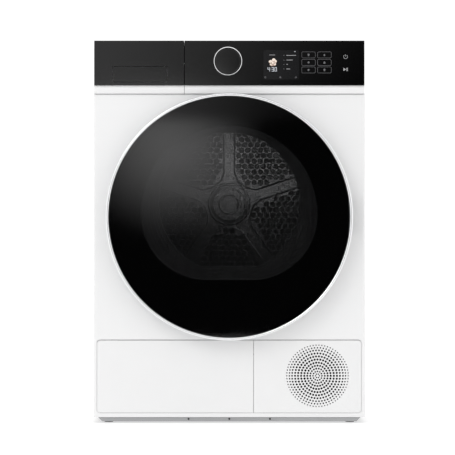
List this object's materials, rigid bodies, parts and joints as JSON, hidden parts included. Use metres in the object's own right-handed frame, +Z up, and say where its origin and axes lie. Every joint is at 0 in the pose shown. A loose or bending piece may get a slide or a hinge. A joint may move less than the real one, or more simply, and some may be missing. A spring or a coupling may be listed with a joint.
{
  "type": "clothes dryer",
  "caption": "Free-standing front-loading heat-pump dryer with a round dark glass door, black control band, water tank drawer, rotary knob, service flap and round vent.",
  "frame": {"origin": "on the floor, under the middle of the machine's box", "axes": "+Z up, -Y towards the user (front and door), +X to the right seen from the front"},
  "size_m": [0.6, 0.65, 0.845],
  "materials": {
    "white_enamel": "satin white enamel on folded steel",
    "white_laminate": "white laminate on a particle board worktop",
    "white_plastic": "semi-gloss white moulding",
    "black_fascia": "piano black, polished",
    "door_pane": "dark tinted glass",
    "silver_trim": "satin chrome",
    "bowl_glass": "clear grey moulded glass",
    "dark_plastic": "fine-textured dark moulding",
    "grey_plastic": "mid grey textured moulding",
    "tank_plastic": "milky translucent plastic",
    "drum_steel": "stainless steel",
    "zinc_steel": "zinc-plated sheet",
    "motor_iron": "dark grey painted housing",
    "fin_aluminium": "pressed fins",
    "copper_tube": "bare copper tube",
    "seal_rubber": "soft grey-black rubber",
    "foot_rubber": "hard black rubber",
    "board_green": "green circuit board"
  },
  "bodies": {
    "cabinet": {"base_tray": "grey_plastic", "left_side_panel": "white_enamel", "right_side_panel": "white_enamel", "rear_panel": "zinc_steel", "rear_duct_cover": "zinc_steel", "top_cover": "white_laminate", "front_panel": "white_enamel", "grille_panel": "white_plastic", "control_housing": "white_plastic", "control_fascia": "black_fascia", "control_board": "board_green", "front_bulkhead": "grey_plastic", "rear_bearing": "zinc_steel", "door_seal": "seal_rubber", "door_lock": "grey_plastic", "hinge_bracket": "zinc_steel", "hinge_pin": "zinc_steel", "motor": "motor_iron", "motor_bracket": "zinc_steel", "blower_housing": "grey_plastic", "drum_belt": "seal_rubber", "compressor": "motor_iron", "evaporator": "fin_aluminium", "condenser": "fin_aluminium", "refrigerant_pipe": "copper_tube", "exchanger_cover": "white_plastic", "condensate_pump": "dark_plastic", "drain_hose": "seal_rubber", "fan_frame": "dark_plastic", "cord_gland": "dark_plastic"},
    "door": {"door_ring": "silver_trim", "door_glass": "door_pane", "door_frame": "dark_plastic", "door_bowl": "bowl_glass", "door_hook": "white_plastic", "door_hinge_arm": "zinc_steel"},
    "drum": {"drum_shell": "drum_steel", "drum_back": "drum_steel", "drum_lifter_1": "grey_plastic", "drum_lifter_2": "grey_plastic", "drum_lifter_3": "grey_plastic"},
    "rotor": {"motor_shaft": "zinc_steel", "blower_wheel": "dark_plastic"},
    "tensioner": {"tensioner_arm": "zinc_steel"},
    "idler": {"idler_pulley": "zinc_steel"},
    "left_roller": {"roller_left": "dark_plastic"},
    "right_roller": {"roller_right": "dark_plastic"},
    "fan": {"cooling_fan": "dark_plastic"},
    "filter": {"lint_filter": "grey_plastic"},
    "tank": {"water_tank": "tank_plastic", "tank_front": "white_plastic", "tank_fascia": "black_fascia"},
    "grip": {"grip_flap": "black_fascia"},
    "flap": {"service_flap": "white_plastic"},
    "knob": {"knob_ring": "silver_trim", "knob_cap": "black_fascia"},
    "front_left_foot": {"foot_front_left": "foot_rubber"},
    "front_right_foot": {"foot_front_right": "foot_rubber"},
    "rear_left_foot": {"foot_rear_left": "foot_rubber"},
    "rear_right_foot": {"foot_rear_right": "foot_rubber"}
  },
  "joints": [
    {"name": "door_hinge", "type": "hinge", "parent": "cabinet", "child": "door", "pos_m": [0.262, -0.306, 0.4555], "axis": [0, 0, 1], "range_deg": [0, 120]},
    {"name": "drum_spin", "type": "hinge", "parent": "cabinet", "child": "drum", "pos_m": [0, 0, 0.488], "axis": [0, 1, 0], "continuous": true},
    {"name": "rotor_spin", "type": "hinge", "parent": "cabinet", "child": "rotor", "pos_m": [0.115, 0.0095, 0.115], "axis": [0, 1, 0], "continuous": true},
    {"name": "tensioner_swing", "type": "hinge", "parent": "cabinet", "child": "tensioner", "pos_m": [0.055, 0.0212, 0.06], "axis": [0, -1, 0], "range_deg": [0, 15], "stiffness_Nm_per_rad": 1, "springref_deg": -17.19},
    {"name": "idler_spin", "type": "hinge", "parent": "tensioner", "child": "idler", "pos_m": [0.02, 0.0095, 0.1424], "axis": [0, 1, 0], "continuous": true},
    {"name": "left_roller_spin", "type": "hinge", "parent": "cabinet", "child": "left_roller", "pos_m": [-0.16192, -0.213, 0.25675], "axis": [0, 1, 0], "continuous": true},
    {"name": "right_roller_spin", "type": "hinge", "parent": "cabinet", "child": "right_roller", "pos_m": [0.16192, -0.213, 0.25675], "axis": [0, 1, 0], "continuous": true},
    {"name": "fan_spin", "type": "hinge", "parent": "cabinet", "child": "fan", "pos_m": [0.195, -0.262, 0.104], "axis": [0, 1, 0], "continuous": true},
    {"name": "filter_lift", "type": "slide", "parent": "cabinet", "child": "filter", "axis": [0, 0, 1], "range_m": [0, 0.11]},
    {"name": "tank_slide", "type": "slide", "parent": "cabinet", "child": "tank", "axis": [0, -1, 0], "range_m": [0, 0.42]},
    {"name": "grip_swing", "type": "hinge", "parent": "tank", "child": "grip", "pos_m": [-0.1975, -0.2875, 0.7857], "axis": [1, 0, 0], "range_deg": [0, 35], "stiffness_Nm_per_rad": 0.04, "springref_deg": -5.73},
    {"name": "flap_hinge", "type": "hinge", "parent": "cabinet", "child": "flap", "pos_m": [-0.11975, -0.283, 0.0262], "axis": [1, 0, 0], "range_deg": [0, 90]},
    {"name": "knob_turn", "type": "hinge", "parent": "cabinet", "child": "knob", "pos_m": [-0.003, -0.2893, 0.7985], "axis": [0, 1, 0], "continuous": true},
    {"name": "front_left_foot_screw", "type": "slide", "parent": "cabinet", "child": "front_left_foot", "axis": [0, 0, -1], "range_m": [0, 0.012]},
    {"name": "front_right_foot_screw", "type": "slide", "parent": "cabinet", "child": "front_right_foot", "axis": [0, 0, -1], "range_m": [0, 0.012]},
    {"name": "rear_left_foot_screw", "type": "slide", "parent": "cabinet", "child": "rear_left_foot", "axis": [0, 0, -1], "range_m": [0, 0.012]},
    {"name": "rear_right_foot_screw", "type": "slide", "parent": "cabinet", "child": "rear_right_foot", "axis": [0, 0, -1], "range_m": [0, 0.012]}
  ],
  "couplings": [
    {"joint": "rotor_spin", "follows": "drum_spin", "ratio": 22.211},
    {"joint": "idler_spin", "follows": "drum_spin", "ratio": -17.442},
    {"joint": "left_roller_spin", "follows": "drum_spin", "ratio": -13.1},
    {"joint": "right_roller_spin", "follows": "drum_spin", "ratio": -13.1}
  ]
}
